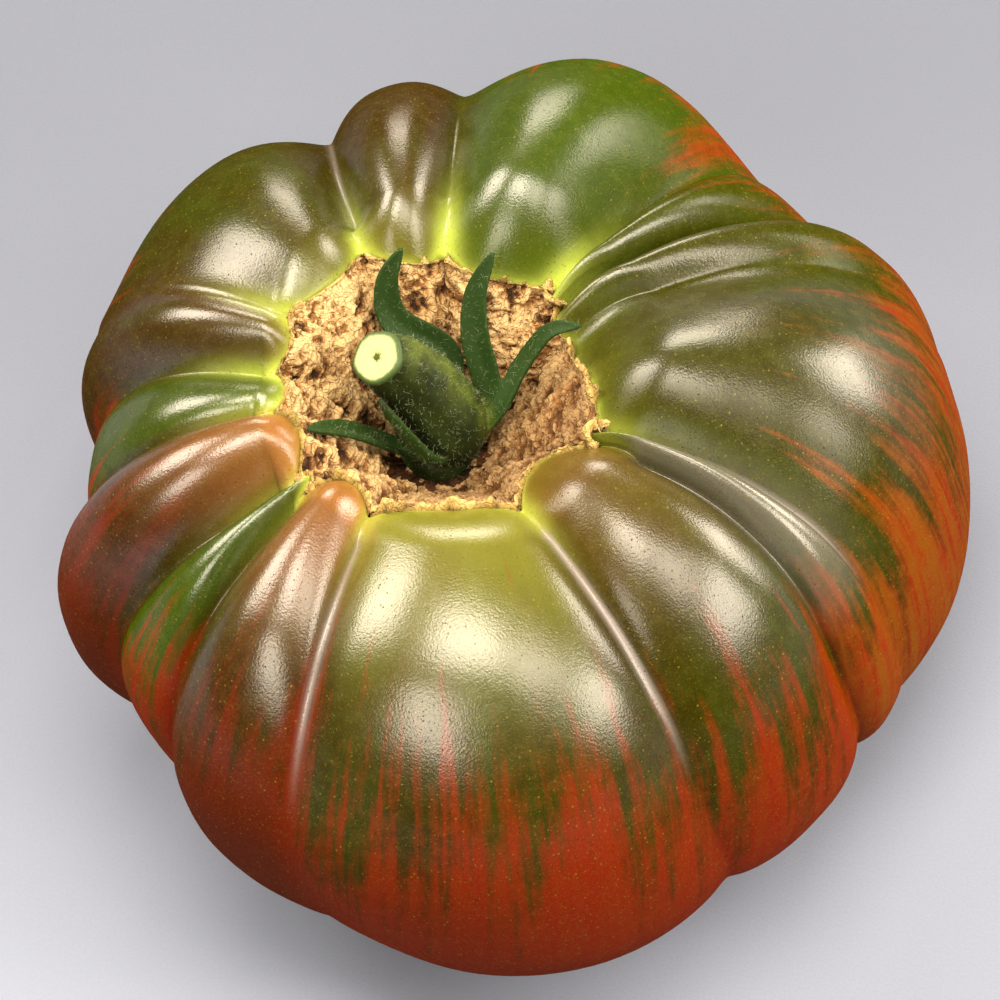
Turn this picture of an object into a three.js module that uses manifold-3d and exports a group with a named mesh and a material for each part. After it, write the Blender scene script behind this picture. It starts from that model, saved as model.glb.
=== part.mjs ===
// A ribbed beefsteak tomato standing on its blossom end: the fruit, the cork crust that lines its stem hollow,
// and the cut stem with its five sepals. Millimetres, +Z up. The origin is the centre of the flat spot that the
// fruit rests on. Azimuths are degrees about +Z from +X, which is the right-hand side seen from the front (-Y).
import * as THREE from "three";
import { mergeVertices } from "three/addons/utils/BufferGeometryUtils.js";
import Module from "manifold-3d";

// Fruit
const WIDEST_Z = 30; // height of the widest level
const REST_R = 13; // radius of the flat spot
const CROWN_SHARE = 0.45; // radius of the highest line, as a share of the lobe's reach
const FLOOR_Z = 45; // lowest point of the stem hollow, on top of the cork
const STEM_AXIS = [-7.5, -3.2]; // the stem hollow is off the middle of the base
const LEAN_Z = 48; // the lean towards the stem axis is complete at this height
const UPPER_FULLNESS = 2.2; // exponents of the flank's curve: 2 is an ellipse, and more is squarer
const LOWER_FULLNESS = 2.1;
const LOBE_ROUNDING = 2.3; // exponent of the arch across a lobe
const CREASE_SHARPNESS = 14; // exponent of the fine crease at the bottom of a furrow
const RIM_DEPTH_SHARE = 0.5; // how much of a furrow's depth is there at the cork's edge
const SHOULDER_TURN = 0.35; // how far a furrow has turned to its side azimuth where it crosses the crown

// Furrows, anticlockwise from the front right one. rim and side: azimuth at the cork's edge and at the widest
// level. edge: radius of the cork's edge. top and low: depth at the crown and at the widest level. crease: depth
// of the fine crease in it. soft: how rounded its bottom is, as a share of half a lobe.
const FURROWS = [
  { rim: 299, side: 304, edge: 18.6, top: 3.2, low: 2.3, crease: 1.2, soft: 0.05 },
  { rim: 336, side: 331, edge: 18.6, top: 5.0, low: 3.5, crease: 0.8, soft: 0.06 },
  { rim: 338, side: 340, edge: 18.6, top: 3.6, low: 2.2, crease: 1.2, soft: 0.06 },
  { rim: 394, side: 380, edge: 18.0, top: 2.2, low: 0.4, crease: 0.0, soft: 0.25 },
  { rim: 404, side: 395, edge: 19.5, top: 5.0, low: 3.5, crease: 0.6, soft: 0.1 },
  { rim: 409, side: 408, edge: 19.5, top: 5.0, low: 1.8, crease: 0.3, soft: 0.12 },
  { rim: 447, side: 446, edge: 17.6, top: 5.0, low: 2.2, crease: 0.3, soft: 0.12 },
  { rim: 475, side: 465, edge: 18.6, top: 5.5, low: 4.0, crease: 0.5, soft: 0.08 },
  { rim: 516, side: 514, edge: 18.0, top: 1.4, low: 0.3, crease: 0.0, soft: 0.4 },
  { rim: 535, side: 530, edge: 17.2, top: 3.6, low: 2.4, crease: 0.5, soft: 0.12 },
  { rim: 554, side: 547, edge: 17.2, top: 4.0, low: 3.0, crease: 0.8, soft: 0.1 },
  { rim: 582, side: 571, edge: 19.0, top: 6.0, low: 4.5, crease: 0.5, soft: 0.08 },
  { rim: 586, side: 587, edge: 19.0, top: 6.5, low: 4.5, crease: 0.8, soft: 0.08 },
  { rim: 609, side: 612, edge: 18.6, top: 3.2, low: 0.8, crease: 1.2, soft: 0.06 },
];
// Lobe n lies between furrow n and the next one. reach: radius at the widest level. crown: height of its highest
// line. sink: how far its crest lies below its neighbours'. swell: how far it pushes the cork's edge inwards.
// peak: where between its two furrows its crest is, as a share.
const LOBES = [
  { reach: 56.0, crown: 66, sink: 0.0, swell: 3.0, peak: 0.5 },
  { reach: 57.6, crown: 66, sink: 2.0, swell: 0.5, peak: 0.5 },
  { reach: 61.4, crown: 67, sink: 0.0, swell: 0.8, peak: 0.68 },
  { reach: 65.8, crown: 61, sink: 0.0, swell: 0.8, peak: 0.5 },
  { reach: 63.4, crown: 62, sink: 2.0, swell: 0.5, peak: 0.5 },
  { reach: 65.6, crown: 67, sink: 0.0, swell: 1.0, peak: 0.5 },
  { reach: 58.0, crown: 66, sink: 0.0, swell: 0.6, peak: 0.5 },
  { reach: 52.6, crown: 66, sink: 0.0, swell: 0.8, peak: 0.5 },
  { reach: 46.4, crown: 65, sink: 0.0, swell: 0.5, peak: 0.5 },
  { reach: 44.2, crown: 63, sink: 1.5, swell: 0.5, peak: 0.5 },
  { reach: 48.0, crown: 65, sink: 0.0, swell: 0.8, peak: 0.5 },
  { reach: 49.0, crown: 64, sink: 3.0, swell: 0.5, peak: 0.5 },
  { reach: 52.2, crown: 65, sink: 0.0, swell: 1.5, peak: 0.5 },
  { reach: 59.2, crown: 66, sink: 0.0, swell: 1.0, peak: 0.5 },
];
// Shares across a lobe where the mesh has a column, close together beside the furrow.
const ACROSS = [0, 0.05, 0.14, 0.3, 0.5, 0.7, 0.86, 0.95];
const HOLLOW_SHARES = [0.3, 0.55, 0.8, 0.97]; // rings of the hollow under the cork, as shares of its radius
const SHOULDER_RINGS = 4;
const UPPER_RINGS = 12;
const LOWER_RINGS = 10;
const LOW_CREASE_SHARE = 0.4; // how much of the fine crease is left at the widest level
const UNDERSIDE_FADE = 0.8; // exponent by which the furrows fade towards the flat spot

// Cork
const CORK_T = 1.2;
const CORK_HOLE_R = 5.0;
const CORK_RELIEF = 0.7; // height of its ridges
const CORK_SHARES = [0, 0.2, 0.4, 0.6, 0.8, 0.95]; // its rings, as shares of the way from its hole to its edge
const GAP = 0.3; // clearance between the pieces

// Stem and sepals, as offsets from the middle of the hollow's floor
const SEAT_R = 4.3; // the receptacle that sits in the cork's hole
// Its outline as [radius, height]: the foot follows the floor of the fruit's hollow, and the top is a low dome.
const SEAT_FOOT = [[0, -0.9], [2.6, 0], [4.0, 1.2], [SEAT_R, 1.8]];
const SEAT_TOP = [[SEAT_R, 2.6], [3.8, 3.8], [2.4, 4.8], [0, 5.4]];
const STEM_PATH = [[1.0, 0.2, 2.6], [1.4, 0.8, 7.4], [-1.4, 1.6, 12.2], [-4.2, 1.0, 17.2], [-6.5, -0.4, 21.4]];
const STEM_RADII = [3.6, 4.6, 4.6, 3.9, 3.1];
const SEPALS = [
  {
    width: 3.8,
    path: [[0.4, 1.6, 3.8], [1.2, 8.4, 10], [-5.0, 11.0, 13.8], [-5.7, 13.0, 18.2], [-3.9, 15.2, 21.6]],
  },
  {
    width: 3.8,
    path: [[2.2, 1.2, 3.8], [6.0, 4.6, 8.0], [4.8, 8.6, 13.4], [4.8, 11.6, 17.6], [6.7, 14.2, 22]],
  },
  {
    width: 2.6,
    path: [[2.4, -0.8, 3.8], [7.2, 2.0, 7.6], [10.2, 5.4, 12.2], [13.6, 7.0, 16.8], [16.9, 6.8, 17.8]],
  },
  {
    width: 3.0,
    path: [[-1.4, -1.4, 3.8], [-5.0, -2.6, 7.2], [-9.0, -4.4, 12.2], [-12, -6.4, 15.8], [-14.3, -7.9, 17.8]],
  },
  {
    width: 3.0,
    path: [[1.0, -1.6, 3.9], [-0.6, -4.8, 7.6], [-2.6, -4.8, 11.0], [-4.6, -4.2, 14.4], [-6.3, -3.4, 17.4]],
  },
];
const SEPAL_T = 1.5; // thickness at the root
const SEPAL_TIP_SHARE = 0.5; // the tip's thickness as a share of it
const SEPAL_TIP_WIDTH = 0.18; // the tip's width as a share of the blade's

const wasm = await Module();
wasm.setup();

const lerp = (a, b, t) => a + (b - a) * t;
const smooth = (t) => {
  const c = Math.min(Math.max(t, 0), 1);
  return c * c * (3 - 2 * c);
};
const rad = THREE.MathUtils.degToRad;

// The azimuth of furrow n at the widest level, counted on past 360 after the last one.
function sideAzimuth(n) {
  const turns = Math.floor(n / FURROWS.length);
  return FURROWS[n - turns * FURROWS.length].side + 360 * turns;
}

// A lobe's value (its reach or crown) carried round the fruit from crest to crest by a cubic curve.
function around(azimuth, key) {
  const count = LOBES.length;
  const crest = (n) => (sideAzimuth(n) + sideAzimuth(n + 1)) / 2;
  let a = azimuth;
  while (a < crest(0)) a += 360;
  while (a >= crest(count)) a -= 360;
  let n = 0;
  while (a >= crest(n + 1)) n += 1;
  const value = (k) => LOBES[(k + count) % count][key];
  const slope = (k) => (value(k + 1) - value(k - 1)) / (crest(k + 1) - crest(k - 1));
  const span = crest(n + 1) - crest(n);
  const t = (a - crest(n)) / span;
  const bend = t * (1 - t) * span * ((1 - t) * slope(n) - t * slope(n + 1));
  return lerp(value(n), value(n + 1), smooth(t)) + bend;
}

// The smooth profile without furrows, as [radius, height]. stage is the stretch of it: hollow (from the floor's
// middle to the cork's edge), crust (the same, from the hole in the cork), shoulder (from the cork's edge to the
// highest line), upper (on to the widest level) or lower (on to the flat spot).
function profile(stage, t, edge, reach, crown) {
  const crownR = CROWN_SHARE * reach;
  const inner = { hollow: edge * t, crust: lerp(CORK_HOLE_R, edge, t), shoulder: lerp(edge, crownR, t) };
  if (stage in inner) {
    const r = inner[stage];
    return [r, FLOOR_Z + ((crown - FLOOR_Z) * (1 - Math.cos((Math.PI * r) / crownR))) / 2];
  }
  const turn = (t * Math.PI) / 2;
  const c = Math.max(Math.cos(turn), 0);
  const s = Math.sin(turn);
  if (stage === "upper") {
    return [
      crownR + (reach - crownR) * s ** (2 / UPPER_FULLNESS),
      WIDEST_Z + (crown - WIDEST_Z) * c ** (2 / UPPER_FULLNESS),
    ];
  }
  return [REST_R + (reach - REST_R) * c ** (2 / LOWER_FULLNESS), WIDEST_Z * (1 - s ** (2 / LOWER_FULLNESS))];
}

// A point of the fruit's skin, or of the cork's top in the hollow: lobe n, share u across it, share t of a stage.
// raise lifts it along the surface's normal.
function skinPoint(n, u, stage, t, raise = 0) {
  const a = FURROWS[n];
  const b = FURROWS[(n + 1) % FURROWS.length];
  const wrap = n === FURROWS.length - 1 ? 360 : 0;
  const out = { hollow: 0, crust: 0, shoulder: SHOULDER_TURN * t, upper: lerp(SHOULDER_TURN, 1, t), lower: 1 }[stage];
  const turned = smooth(out);
  const azimuth = lerp(lerp(a.rim, a.side, turned), lerp(b.rim, b.side, turned) + wrap, u);
  const reach = around(azimuth, "reach");
  const crown = around(azimuth, "crown");

  const soft = lerp(a.soft, b.soft, u);
  const peak = LOBES[n].peak;
  const fromFurrow = Math.min(u / peak, (1 - u) / (1 - peak));
  const rounded = (Math.hypot(fromFurrow, soft) - soft) / (Math.hypot(1, soft) - soft);
  const arch = 1 - (1 - rounded) ** LOBE_ROUNDING;
  const edge = lerp(a.edge, b.edge, u) - LOBES[n].swell * arch;

  const step = 1e-3;
  const [r, z] = profile(stage, t, edge, reach, crown);
  const [r0, z0] = profile(stage, Math.max(t - step, 0), edge, reach, crown);
  const [r1, z1] = profile(stage, Math.min(t + step, 1), edge, reach, crown);
  const length = Math.hypot(r1 - r0, z1 - z0);
  const normal = [-(z1 - z0) / length, (r1 - r0) / length];

  const run = {
    hollow: RIM_DEPTH_SHARE * smooth(r / edge),
    crust: RIM_DEPTH_SHARE * smooth(r / edge),
    shoulder: lerp(RIM_DEPTH_SHARE, 1, smooth(t)),
    upper: 1,
    lower: (1 - t) ** UNDERSIDE_FADE,
  }[stage];
  const low = { hollow: 0, crust: 0, shoulder: 0, upper: smooth(t), lower: 1 }[stage];
  const furrow = lerp(lerp(a.top, a.low, low), lerp(b.top, b.low, low), u) * (1 - arch);
  const fineness = lerp(1, LOW_CREASE_SHARE, low) * (1 - rounded) ** CREASE_SHARPNESS;
  const crease = lerp(a.crease, b.crease, smooth(u)) * fineness;
  const sunk = run * (furrow + crease + LOBES[n].sink * arch) - raise;

  const radius = r - normal[0] * sunk;
  const height = z - normal[1] * sunk;
  const lean = smooth(height / LEAN_Z);
  return new THREE.Vector3(
    STEM_AXIS[0] * lean + radius * Math.cos(rad(azimuth)),
    STEM_AXIS[1] * lean + radius * Math.sin(rad(azimuth)),
    height,
  );
}

// One closed ring of points round the fruit. raise is a number or a function of the column's number.
function ring(stage, t, raise = 0) {
  const points = [];
  for (let n = 0; n < LOBES.length; n += 1) {
    for (const u of ACROSS) {
      const lift = typeof raise === "function" ? raise(points.length) : raise;
      points.push(skinPoint(n, u, stage, t, lift));
    }
  }
  return points;
}

// A closed mesh through rings of equal count. With ends "poles" a one-point ring closes each end, and with ends
// "loop" the last ring joins the first.
function loft(rings, ends) {
  const positions = [];
  const starts = rings.map((points) => {
    const start = positions.length / 3;
    points.forEach((p) => positions.push(p.x, p.y, p.z));
    return start;
  });
  const index = [];
  const last = ends === "loop" ? rings.length : rings.length - 1;
  for (let k = 0; k < last; k += 1) {
    const next = (k + 1) % rings.length;
    const count = Math.max(rings[k].length, rings[next].length);
    for (let j = 0; j < count; j += 1) {
      const at = (ringNumber, column) => starts[ringNumber] + (column % rings[ringNumber].length);
      const [p, q, r, s] = [at(k, j), at(next, j), at(next, j + 1), at(k, j + 1)];
      if (q !== r) index.push(p, q, r);
      if (p !== s) index.push(p, r, s);
    }
  }
  const geometry = new THREE.BufferGeometry();
  geometry.setAttribute("position", new THREE.Float32BufferAttribute(positions, 3));
  geometry.setIndex(index);
  return geometry;
}

// The ends of count equal steps from 0 to 1.
const shares = (count) => Array.from({ length: count }, (_, k) => (k + 1) / count);

function fruitGeometry() {
  const bed = -(CORK_T + GAP);
  const rings = [[new THREE.Vector3(...STEM_AXIS, FLOOR_Z + bed)]];
  HOLLOW_SHARES.forEach((t) => rings.push(ring("hollow", t, bed)));
  rings.push(ring("hollow", 1));
  shares(SHOULDER_RINGS).forEach((t) => rings.push(ring("shoulder", t)));
  shares(UPPER_RINGS).forEach((t) => rings.push(ring("upper", t)));
  shares(LOWER_RINGS).forEach((t) => rings.push(ring("lower", t)));
  rings.push([new THREE.Vector3(0, 0, 0)]);
  return loft(rings, "poles");
}

// The crust's relief: irregular ridges from three waves of unlike pitch round and along the hollow.
function corkRelief(t) {
  return (column) => {
    const waves = Math.sin(column * 1.9 + t * 9) + Math.sin(column * 0.83 - t * 14) + Math.sin(column * 2.7 + 5);
    return (CORK_RELIEF * (waves + 3)) / 6;
  };
}

function corkGeometry() {
  const rings = CORK_SHARES.map((t) => ring("crust", t, corkRelief(t)));
  [...CORK_SHARES].reverse().forEach((t) => rings.push(ring("crust", t, -CORK_T)));
  return loft(rings, "loop");
}

// A closed tube along a curve through the path's points. halfWidth and halfHeight give the half sizes of its oval
// section at a share of its length, and its wide side faces the way of facing.
function sweep(path, halfWidth, halfHeight, facing, steps, sides) {
  const curve = new THREE.CatmullRomCurve3(path.map((p) => new THREE.Vector3(...p)));
  const rings = [];
  for (let k = 0; k <= steps; k += 1) {
    const t = k / steps;
    const centre = curve.getPoint(t);
    const along = curve.getTangent(t);
    const across = new THREE.Vector3().crossVectors(along, facing).normalize();
    const up = new THREE.Vector3().crossVectors(across, along);
    const points = [];
    for (let j = 0; j < sides; j += 1) {
      const turn = (2 * Math.PI * j) / sides;
      points.push(
        centre
          .clone()
          .addScaledVector(across, halfWidth(t) * Math.cos(turn))
          .addScaledVector(up, halfHeight(t) * Math.sin(turn)),
      );
    }
    rings.push(points);
  }
  return loft([[curve.getPoint(0)], ...rings, [curve.getPoint(1)]], "poles");
}

// A closed mesh as a manifold-3d solid: only positions count, and triangles that collapse at a pole are dropped.
function solid(geometry) {
  geometry.deleteAttribute("normal");
  geometry.deleteAttribute("uv");
  const merged = mergeVertices(geometry, 1e-4);
  const triVerts = [];
  for (let k = 0; k < merged.index.count; k += 3) {
    const [a, b, c] = [0, 1, 2].map((j) => merged.index.getX(k + j));
    if (a !== b && b !== c && c !== a) triVerts.push(a, b, c);
  }
  return new wasm.Manifold(
    new wasm.Mesh({
      numProp: 3,
      vertProperties: merged.attributes.position.array,
      triVerts: new Uint32Array(triVerts),
    }),
  );
}

function geometryOf(made) {
  const { vertProperties, triVerts } = made.getMesh();
  const geometry = new THREE.BufferGeometry();
  geometry.setAttribute("position", new THREE.BufferAttribute(vertProperties, 3));
  geometry.setIndex(new THREE.BufferAttribute(triVerts, 1));
  return geometry;
}

function receptacle() {
  const outline = [...SEAT_FOOT, ...SEAT_TOP].map((p) => new THREE.Vector2(...p));
  return new THREE.LatheGeometry(outline, 24).rotateX(Math.PI / 2);
}

function stemRadius(t) {
  const at = t * (STEM_RADII.length - 1);
  const k = Math.min(Math.floor(at), STEM_RADII.length - 2);
  return lerp(STEM_RADII[k], STEM_RADII[k + 1], smooth(at - k));
}

function sepal({ width, path }) {
  const outward = new THREE.Vector3(path[2][0], path[2][1], 0).normalize();
  const facing = outward.multiplyScalar(-1).setZ(0.8).normalize();
  const belly = (t) => 0.8 + 0.2 * Math.sin(Math.PI * t);
  const half = (t) => (width / 2) * Math.max(SEPAL_TIP_WIDTH, Math.sqrt(1 - t ** 2.4)) * belly(t);
  const thick = (t) => (SEPAL_T / 2) * lerp(1, SEPAL_TIP_SHARE, t);
  return sweep(path, half, thick, facing, 14, 10);
}

function calyxGeometry() {
  const stem = sweep(STEM_PATH, stemRadius, stemRadius, new THREE.Vector3(0, 1, 0.2), 12, 20);
  let made = solid(receptacle()).add(solid(stem));
  for (const blade of SEPALS) made = made.add(solid(sepal(blade)));
  return geometryOf(made).translate(...STEM_AXIS, FLOOR_Z);
}

function part(name, geometry, color, roughness) {
  const mesh = new THREE.Mesh(geometry, new THREE.MeshStandardMaterial({ color, roughness, metalness: 0 }));
  mesh.name = name;
  return mesh;
}

const tomato = new THREE.Group();
tomato.add(part("fruit", fruitGeometry(), 0x6b4a1e, 0.3));
tomato.add(part("cork_scar", corkGeometry(), 0xb98a55, 0.9));
tomato.add(part("stem_and_sepals", calyxGeometry(), 0x2c5a1c, 0.6));

export default tomato;
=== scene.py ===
"""The looks of a ribbed beefsteak tomato: waxy skin, flaky cork crust, cut hairy stem and curled sepals.

Sizes are in millimetres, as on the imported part, and MM turns them into metres.
"""

import math

import bpy
import numpy as np
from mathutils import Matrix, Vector


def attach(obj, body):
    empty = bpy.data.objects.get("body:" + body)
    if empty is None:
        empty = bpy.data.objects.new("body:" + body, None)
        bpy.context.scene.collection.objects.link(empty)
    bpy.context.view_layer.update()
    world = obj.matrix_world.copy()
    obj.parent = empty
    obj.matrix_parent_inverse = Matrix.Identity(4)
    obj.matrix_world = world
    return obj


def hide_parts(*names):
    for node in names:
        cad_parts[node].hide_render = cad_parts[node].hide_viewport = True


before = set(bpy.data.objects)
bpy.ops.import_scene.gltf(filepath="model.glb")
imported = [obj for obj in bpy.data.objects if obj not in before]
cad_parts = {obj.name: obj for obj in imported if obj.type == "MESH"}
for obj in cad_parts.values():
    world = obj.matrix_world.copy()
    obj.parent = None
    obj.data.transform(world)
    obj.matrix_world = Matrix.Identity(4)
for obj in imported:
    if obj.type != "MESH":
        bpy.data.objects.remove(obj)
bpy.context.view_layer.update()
MM = 0.001

# Camera: it looks down along +Y at the photo's angle
VIEW_ELEVATION = 55.0  # degrees
VIEW_DISTANCE = 500.0
VIEW_TARGET = (0.0, 0.0, 33.0)
LENS = 149.4  # on the 36 mm wide sensor

# The fruit's driving sizes, the same as the part's
WIDEST_Z = 30.0
REST_R = 13.0
CROWN_SHARE = 0.45
FLOOR_Z = 45.0
STEM_AXIS = (-7.5, -3.2)
LEAN_Z = 48.0
UPPER_FULLNESS = 2.2
LOWER_FULLNESS = 2.1
LOBE_ROUNDING = 2.3
CREASE_SHARPNESS = 14.0
RIM_DEPTH_SHARE = 0.5
SHOULDER_TURN = 0.35
LOW_CREASE_SHARE = 0.4
UNDERSIDE_FADE = 0.8
CORK_HOLE_R = 5.0
CORK_T = 1.2
CORK_GAP = 0.3

# Furrows, anticlockwise from the front right one: azimuth in degrees at the cork's edge and at the widest
# level, radius of the cork's edge, depth at the crown and at the widest level, depth of the fine crease,
# softness. Then their colours: glow is how yellow-green a painted glow of light shining through the skin turns
# the furrow beside the cork, and the last how pale the painted highlight line in its bottom is.
FURROW_KEYS = ("rim", "side", "edge", "top", "low", "crease", "soft", "glow", "painted_sheen")
FURROWS = (
    (299, 304, 18.6, 3.2, 2.3, 1.2, 0.05, 0.5, 1.0),
    (336, 331, 18.6, 5.0, 3.5, 0.8, 0.06, 0.1, 0.1),
    (338, 340, 18.6, 3.6, 2.2, 1.2, 0.06, 0.3, 1.0),
    (394, 380, 18.0, 2.2, 0.4, 0.0, 0.25, 0.0, 0.0),
    (404, 395, 19.5, 5.0, 3.5, 0.6, 0.10, 0.4, 0.0),
    (409, 408, 19.5, 5.0, 1.8, 0.3, 0.12, 1.0, 0.0),
    (447, 446, 17.6, 5.0, 2.2, 0.3, 0.12, 1.0, 0.0),
    (475, 465, 18.6, 5.5, 4.0, 0.5, 0.08, 0.6, 0.3),
    (516, 514, 18.0, 1.4, 0.3, 0.0, 0.40, 0.4, 0.0),
    (535, 530, 17.2, 3.6, 2.4, 0.5, 0.12, 0.8, 0.0),
    (554, 547, 17.2, 4.0, 3.0, 0.8, 0.10, 0.6, 0.0),
    (582, 571, 19.0, 6.0, 4.5, 0.5, 0.08, 0.8, 0.0),
    (586, 587, 19.0, 6.5, 4.5, 0.8, 0.08, 0.9, 0.0),
    (609, 612, 18.6, 3.2, 0.8, 1.2, 0.06, 0.6, 0.8),
)
# Lobe n lies between furrow n and the next one: radius at the widest level, height of its highest line, how
# far it is sunk, how far it pushes the cork's edge inwards and where across it its crest is. Then its colours:
# ripe is where its red begins, counted as 0 at the cork, 1 at the crown, 2 at the widest level and 3 at the
# flat spot. Green tints its upper part, brown the whole of it, orange its red, and blush the skin beside the
# cork. The next is how strong a pale painted highlight lies over a band of its height, matt how dull its side
# beside furrow n is, and pale how light its upper part is and how far down that goes.
LOBE_KEYS = (
    "reach", "crown", "sink", "swell", "peak",
    "ripe", "green", "brown", "orange", "blush", "lobe_sheen", "matt", "pale",
)
LOBES = (
    (56.0, 66.0, 0.0, 3.0, 0.50, 1.80, 0.30, 0.20, 0.25, 0.25, 0.00, 0.60, 0.20),
    (57.6, 66.0, 2.0, 0.5, 0.50, 1.70, 0.45, 0.05, 0.80, 0.00, 0.26, 0.00, 0.40),
    (61.4, 67.0, 0.0, 0.8, 0.68, 1.66, 0.30, 0.10, 0.85, 0.00, 0.00, 0.92, 0.12),
    (65.8, 61.0, 0.0, 0.8, 0.50, 1.62, 0.45, 0.20, 0.90, 0.00, 0.00, 0.20, 0.25),
    (63.4, 62.0, 2.0, 0.5, 0.50, 1.66, 0.60, 0.20, 0.80, 0.00, 0.00, 0.30, 0.30),
    (65.6, 67.0, 0.0, 1.0, 0.50, 1.66, 0.85, 0.05, 0.60, 0.00, 0.00, 0.80, 0.30),
    (58.0, 66.0, 0.0, 0.6, 0.50, 1.95, 0.15, 0.50, 0.30, 0.00, 0.00, 0.00, 0.50),
    (52.6, 66.0, 0.0, 0.8, 0.50, 1.90, 0.30, 0.30, 0.30, 0.00, 0.00, 0.00, 0.45),
    (46.4, 65.0, 0.0, 0.5, 0.50, 1.90, 0.10, 0.60, 0.20, 0.10, 0.00, 0.00, 0.35),
    (44.2, 63.0, 1.5, 0.5, 0.50, 1.85, 0.75, 0.05, 0.20, 0.00, 0.00, 0.00, 0.50),
    (48.0, 65.0, 0.0, 0.8, 0.50, 1.60, 0.00, 0.80, 0.15, 0.90, 0.00, 0.00, 0.30),
    (49.0, 64.0, 3.0, 0.5, 0.50, 1.75, 0.90, 0.00, 0.15, 0.00, 0.00, 0.00, 0.30),
    (52.2, 65.0, 0.0, 1.5, 0.50, 1.60, 0.05, 0.80, 0.10, 0.80, 0.00, 0.00, 0.40),
    (59.2, 66.0, 0.0, 1.0, 0.50, 1.66, 0.20, 0.25, 0.15, 0.00, 0.00, 0.00, 1.00),
)
FURROW = {key: np.array(column, float) for key, column in zip(FURROW_KEYS, zip(*FURROWS))}
LOBE = {key: np.array(column, float) for key, column in zip(LOBE_KEYS, zip(*LOBES))}
LOBE_COUNT = len(LOBES)

# The stem and the sepals, as offsets from the middle of the hollow's floor, the same as the part's
STEM_PATH = ((1.0, 0.2, 2.6), (1.4, 0.8, 7.4), (-1.4, 1.6, 12.2), (-4.2, 1.0, 17.2), (-6.5, -0.4, 21.4))
STEM_RADII = (3.6, 4.6, 4.6, 3.9, 3.1)
SEPALS = (
    (3.8, ((0.4, 1.6, 3.8), (1.2, 8.4, 10.0), (-5.0, 11.0, 13.8), (-5.7, 13.0, 18.2), (-3.9, 15.2, 21.6))),
    (3.8, ((2.2, 1.2, 3.8), (6.0, 4.6, 8.0), (4.8, 8.6, 13.4), (4.8, 11.6, 17.6), (6.7, 14.2, 22.0))),
    (2.6, ((2.4, -0.8, 3.8), (7.2, 2.0, 7.6), (10.2, 5.4, 12.2), (13.6, 7.0, 16.8), (16.9, 6.8, 17.8))),
    (3.0, ((-1.4, -1.4, 3.8), (-5.0, -2.6, 7.2), (-9.0, -4.4, 12.2), (-12.0, -6.4, 15.8), (-14.3, -7.9, 17.8))),
    (3.0, ((1.0, -1.6, 3.9), (-0.6, -4.8, 7.6), (-2.6, -4.8, 11.0), (-4.6, -4.2, 14.4), (-6.3, -3.4, 17.4))),
)
SEAT_R = 4.3

# How fine the meshes are
LOBE_COLUMNS = 36
BED_SHARES = (0.3, 0.55, 0.75, 0.9, 0.97)  # of the way out to the cork's edge
RING_COUNTS = {"shoulder": 20, "upper": 64, "lower": 48}
CORK_LOBE_COLUMNS = 40
HAIR_COUNT = 3000
HAIR_LENGTHS = (0.2, 0.65)
HAIR_R = (0.015, 0.007)  # at the root and near the tip


def lerp(a, b, t):
    return a + (b - a) * t


def smooth(t):
    c = np.clip(t, 0, 1)
    return c * c * (3 - 2 * c)


def noise(points, pitch, seed):
    """Smooth random values from -1 to 1 at the points, in lumps of about the pitch."""
    place = points / pitch + 31.7 * seed
    cell = np.floor(place).astype(np.int64)
    part = smooth(place - cell)
    total = np.zeros(points.shape[:-1])
    for corner in np.ndindex(2, 2, 2):
        x, y, z = np.moveaxis(cell + np.array(corner), -1, 0)
        number = (x * 73856093) ^ (y * 19349663) ^ (z * 83492791) ^ (seed * 2654435761)
        number = ((number ^ (number >> 13)) * 1274126177) & 0x7FFFFFFF
        value = ((number ^ (number >> 16)) & 0xFFFF) / 32767.5 - 1
        total += value * np.where(corner, part, 1 - part).prod(-1)
    return total


def flakes(points, pitch, seed):
    """For each point, how far it is from the border of its flake, a random number of the flake, and how high
    the flake's random tilt is there. Flakes are cells round random middles, one to each cube of the pitch."""
    place = points / pitch
    cube = np.floor(place).astype(np.int64)
    first = np.full(points.shape[:-1], 9.0)
    second = first.copy()
    pick = np.zeros_like(first)
    tilt = np.zeros_like(first)
    for step in np.ndindex(3, 3, 3):
        near = cube + np.array(step) - 1.0
        middle = near + 0.5 + 0.45 * np.stack([noise(near, 0.37, seed + k) for k in range(3)], -1)
        lean = np.stack([noise(near, 0.41, seed + 5 + k) for k in range(3)], -1)
        away = place - middle
        distance = np.linalg.norm(away, axis=-1)
        nearer = distance < first
        second = np.where(nearer, first, np.minimum(second, distance))
        first = np.where(nearer, distance, first)
        pick = np.where(nearer, lean[..., 0], pick)
        tilt = np.where(nearer, (away * lean).sum(-1), tilt)
    return second - first, pick, tilt


# Fruit surface
SIDE = np.concatenate([FURROW["side"], FURROW["side"] + 360])
CREST = (SIDE[: LOBE_COUNT + 1] + SIDE[1 : LOBE_COUNT + 2]) / 2


def around(azimuth, key):
    """A lobe's value carried round the fruit from crest to crest by a cubic curve."""
    value = LOBE[key]
    turned = (azimuth - CREST[0]) % 360 + CREST[0]
    n = np.clip(np.searchsorted(CREST, turned, "right") - 1, 0, LOBE_COUNT - 1)

    def crest(k):
        return CREST[k % LOBE_COUNT] + 360 * (k // LOBE_COUNT)

    def slope(k):
        return (value[(k + 1) % LOBE_COUNT] - value[(k - 1) % LOBE_COUNT]) / (crest(k + 1) - crest(k - 1))

    span = crest(n + 1) - crest(n)
    t = (turned - crest(n)) / span
    bend = t * (1 - t) * span * ((1 - t) * slope(n) - t * slope(n + 1))
    return lerp(value[n], value[(n + 1) % LOBE_COUNT], smooth(t)) + bend


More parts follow.
